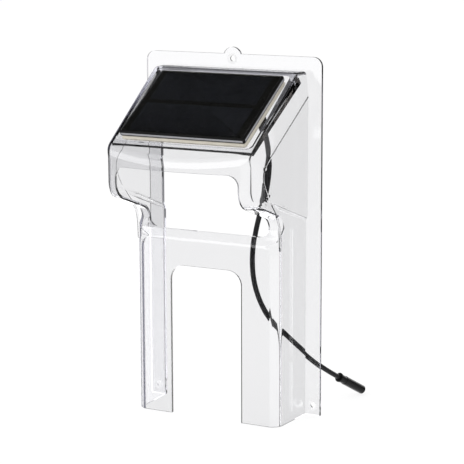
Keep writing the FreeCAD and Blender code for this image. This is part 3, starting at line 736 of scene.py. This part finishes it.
def make_hood():
    room = hood_block("room", WALL, -5.0, -5.0)
    combine(room, [seat_solid("seat_wall", WALL, SEAT_WALL_HALF_X)], "DIFFERENCE")
    hood = hood_block("hood", 0.0, 0.8, 0.0)
    joined = [flange_solid()]
    for side in (1, -1):
        joined.append(wall_bead("edge", side, EDGE_PATH, 0.9, 0.5))
        joined.append(wall_bead("ledge", side, LEDGE_PATH, 4.0, 3.8))
    combine(hood, joined, "UNION")
    window = front_cutter("window", rounded_outline(54.0, SILL, 207.9, 9.0, 9.0), 25.0, 135.0)
    arch = front_cutter("arch", rounded_outline(32.0, -5.0, 123.6, 0.0, 12.0), 35.0, 75.0)
    outlet = turned("outlet", [(4.2, -6.0), (4.2, 6.0)], OUTLET)
    screws = [screw_cutter(x, z) for x, z in SCREW_HOLES]
    combine(hood, [room, seat_solid("seat", 0.0, SEAT_HALF_X), window, arch, outlet] + screws,
            "DIFFERENCE")
    smooth(hood)
    finish_piece(hood, CLEAR_HOOD, "clear_polycarbonate", "hood_shell")
    hood.visible_shadow = False


make_hood()


# ---------------------------------------------------------------- solar panel and its foam

PANEL_HALF_X, PANEL_HALF_Y = 55.0, 40.0
PAD_THICKNESS = 4.0


def panel_ring(half_x, half_y, corner, height):
    return [SEAT @ mm(a, b, height)
            for a, b in rounded_outline(half_x, -half_y, half_y, corner, corner, 6)]


def make_tray():
    """Tray with softened edges and the recess for the board; its upright sides carry a grey
    painted reflection.
    """
    height, wall, floor, corner, edge = 5.0, 1.6, 1.0, 1.7, 1.6
    angles = [math.radians(degrees) for degrees in (0, 22.5, 45, 67.5, 90)]
    rings = [(edge * (1 - math.sin(angle)), edge * (1 - math.cos(angle))) for angle in angles]
    profile = [(inward, PAD_THICKNESS + rise) for inward, rise in rings]
    profile += [(inward, PAD_THICKNESS + height - rise) for inward, rise in reversed(rings)]
    tray = stacked("tray", [panel_ring(PANEL_HALF_X - inward, PANEL_HALF_Y - inward,
                                       corner - inward, z) for inward, z in profile])
    recess = stacked("recess", [panel_ring(PANEL_HALF_X - wall, PANEL_HALF_Y - wall,
                                           corner - wall, z)
                                for z in (PAD_THICKNESS + floor, PAD_THICKNESS + height + 2)])
    outlet = turned("bush_hole", [(3.4, 0.0), (3.4, 8.0)], OUTLET)
    combine(tray, [recess, outlet], "DIFFERENCE")
    smooth(tray)
    finish_piece(tray, TRAY_BLACK, "tray_black", "panel_tray")
    tray.data.materials.append(TRAY_SIDE_PAINTED_SHEEN)
    # the upright faces get the grey painted reflection instead of the black plastic
    up = SEAT.to_3x3() @ Vector((0, 0, 1))
    for face in tray.data.polygons:
        if abs(face.normal.dot(up)) < 0.1 and face.area > 1e-6:
            face.material_index = 1


def make_foam():
    """Foam pad whose sides bulge a little under the panel."""
    steps, bulge = 8, 0.9
    rings = []
    for index in range(steps + 1):
        share = index / steps
        inward = bulge - bulge * math.sin(math.pi * share)
        rings.append(panel_ring(PANEL_HALF_X - inward, PANEL_HALF_Y - inward, 2.6,
                                PAD_THICKNESS * share))
    foam = stacked("foam", rings)
    outlet = turned("foam_hole", [(3.5, -3.0), (3.5, 7.0)], OUTLET)
    combine(foam, [outlet], "DIFFERENCE")
    smooth(foam)
    finish_piece(foam, FOAM, "foam_tan", "foam_pad")


make_tray()
make_foam()
for clear_name in ("cover_sheet", "cell_encapsulant"):
    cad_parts[clear_name].visible_shadow = False


# ---------------------------------------------------------------- lead

def make_lead():
    data = bpy.data.curves.new("lead", "CURVE")
    data.dimensions = "3D"
    spline = data.splines.new("NURBS")
    points = [LEAD_EXIT] + LEAD_ROUTE + [CONNECTOR_BACK]
    spline.points.add(len(points) - 1)
    for control, point in zip(spline.points, points):
        control.co = (*point, 1.0)
    spline.order_u = 3
    spline.use_endpoint_u = True
    spline.resolution_u = 16
    data.bevel_depth = LEAD_DIAMETER / 2
    data.bevel_resolution = 10
    data.use_fill_caps = True
    lead = bpy.data.objects.new("lead", data)
    finish_piece(lead, LEAD_BLACK, "lead_black", "solar_lead")
    return lead


make_lead()


# ---------------------------------------------------------------- stage

FLOOR_GLOW = 0.85
FRONT_CARDS_Y, BACK_CARDS_Y = -0.45, 0.30
# sine of the elevation and grey of the room that the reflections show
MIRRORED_ROOM = ((-1.0, 0.80), (-0.22, 0.75), (-0.10, 0.55), (0.05, 0.42), (0.50, 0.42),
                 (0.80, 0.18), (1.0, 0.18))


def light_path_share(tree):
    """1 for light that was mirrored on its way, 0 for light seen straight or through the hood."""
    path = node(tree, "ShaderNodeLightPath")
    share = node(tree, "ShaderNodeMath", operation="MINIMUM")
    tree.links.new(path.outputs["Glossy Depth"], share.inputs[0])
    share.inputs[1].default_value = 1.0
    return share.outputs[0]


def make_floor():
    mesh = bpy.data.meshes.new("floor")
    reach = 8.0
    mesh.from_pydata([(-reach, -reach, 0), (reach, -reach, 0), (reach, reach, 0),
                      (-reach, reach, 0)], [], [(0, 1, 2, 3)])
    floor = link(bpy.data.objects.new("floor", mesh))
    floor.location.z = -0.0002
    material, tree, shader = new_material("floor_white")
    shader.inputs["Base Color"].default_value = (0.16, 0.16, 0.16, 1.0)
    shader.inputs["Roughness"].default_value = 0.9
    shader.inputs["Specular IOR Level"].default_value = 0.0
    shader.inputs["Emission Color"].default_value = (1.0, 1.0, 1.0, 1.0)
    shader.inputs["Emission Strength"].default_value = FLOOR_GLOW
    away = node(tree, "ShaderNodeBsdfTransparent")
    mixed = node(tree, "ShaderNodeMixShader")
    tree.links.new(light_path_share(tree), mixed.inputs[0])
    tree.links.new(shader.outputs[0], mixed.inputs[1])
    tree.links.new(away.outputs[0], mixed.inputs[2])
    tree.links.new(mixed.outputs[0], output_of(tree).inputs["Surface"])
    mesh.materials.append(material)


def room_shade(tree):
    """Grey of the mirrored room: light below, grey at the horizon and dark overhead."""
    direction = node(tree, "ShaderNodeTexCoord")
    parts = node(tree, "ShaderNodeSeparateXYZ")
    tree.links.new(direction.outputs["Generated"], parts.inputs[0])
    share = ramp(tree, parts.outputs["Z"], 0.0, 1.0, -1.0, 1.0)
    shades = node(tree, "ShaderNodeValToRGB")
    tree.links.new(share, shades.inputs[0])
    stops = shades.color_ramp.elements
    while len(stops) < len(MIRRORED_ROOM):
        stops.new(0.5)
    for stop, (sine, grey) in zip(stops, MIRRORED_ROOM):
        stop.position = (sine + 1.0) / 2
        stop.color = (grey, grey, grey * 1.02, 1.0)
    return shades.outputs[0]


def make_world():
    """White behind the object, and a grey room for its reflections."""
    world = bpy.data.worlds.new("studio")
    scene.world = world
    world.use_nodes = True
    tree = world.node_tree
    background = next(n for n in tree.nodes if n.type == "BACKGROUND")
    mixed = node(tree, "ShaderNodeMix", data_type="RGBA")
    mixed.inputs[6].default_value = (1.0, 1.0, 1.0, 1.0)
    tree.links.new(light_path_share(tree), mixed.inputs[0])
    tree.links.new(room_shade(tree), mixed.inputs[7])
    tree.links.new(mixed.outputs[2], background.inputs["Color"])
    background.inputs["Strength"].default_value = 1.0


def mirror_card(name, corners, radiance):
    """Card that only the object's reflections show."""
    mesh = bpy.data.meshes.new(name)
    mesh.from_pydata(corners, [], [(0, 1, 2, 3)])
    card = link(bpy.data.objects.new(name, mesh))
    material, tree, _ = new_material(name)
    away = node(tree, "ShaderNodeBsdfTransparent")
    glow = node(tree, "ShaderNodeEmission", Color=(1.0, 1.0, 1.0, 1.0), Strength=radiance)
    mixed = node(tree, "ShaderNodeMixShader")
    tree.links.new(light_path_share(tree), mixed.inputs[0])
    tree.links.new(away.outputs[0], mixed.inputs[1])
    tree.links.new(glow.outputs[0], mixed.inputs[2])
    tree.links.new(mixed.outputs[0], output_of(tree).inputs["Surface"])
    mesh.materials.append(material)
    card.visible_shadow = False
    card.visible_diffuse = False


def upright(left, right, low, high):
    """Corners of an upright card from two (x, y) ends and the heights at each of them."""
    return [(*left, low[0]), (*right, low[1]), (*right, high[1]), (*left, high[0])]


def level(y_low, y_high, x_low, x_high, height):
    return [(x_low, y_low, height), (x_high, y_low, height), (x_high, y_high, height),
            (x_low, y_high, height)]


def area_light(name, place, aim, size, power):
    data = bpy.data.lights.new(name, "AREA")
    data.shape = "RECTANGLE"
    data.size, data.size_y = size
    data.energy = power
    light = link(bpy.data.objects.new(name, data))
    light.location = place
    light.rotation_euler = (Vector(aim) - Vector(place)).to_track_quat("-Z", "Y").to_euler()
    return light


make_floor()
make_world()
mirror_card("right_flag", upright((0.165, 0.30), (0.29, 0.28), (-0.15, -0.15), (0.30, 0.30)), 0.03)
mirror_card("low_bounce", upright((-0.40, BACK_CARDS_Y), (0.15, BACK_CARDS_Y), (-0.3, -0.3),
                                  (0.09, 0.09)), 2.2)
mirror_card("left_flag", upright((-0.40, BACK_CARDS_Y), (0.15, BACK_CARDS_Y), (0.09, 0.09),
                                 (0.20, 0.20)), 0.42)
mirror_card("leg_flag", upright((-0.38, FRONT_CARDS_Y), (-0.11, FRONT_CARDS_Y), (-0.25, -0.25),
                                (0.08, 0.08)), 0.05)
mirror_card("nose_flag", upright((-0.80, FRONT_CARDS_Y), (0.06, FRONT_CARDS_Y), (0.08, 0.08),
                                 (0.113, 0.171)), 0.05)
mirror_card("front_softbox", upright((-0.80, FRONT_CARDS_Y), (0.06, FRONT_CARDS_Y),
                                     (0.114, 0.172), (0.60, 0.60)), 2.0)
mirror_card("panel_flag", level(-0.10, 0.30, -0.42, 0.12, 0.70), 0.03)
key = area_light("key", (-0.9, -1.3, 1.5), (0, 0, 0.15), (0.9, 0.9), 16.0)
key.visible_glossy = False
key.visible_transmission = False
scene.view_settings.view_transform = "Standard"
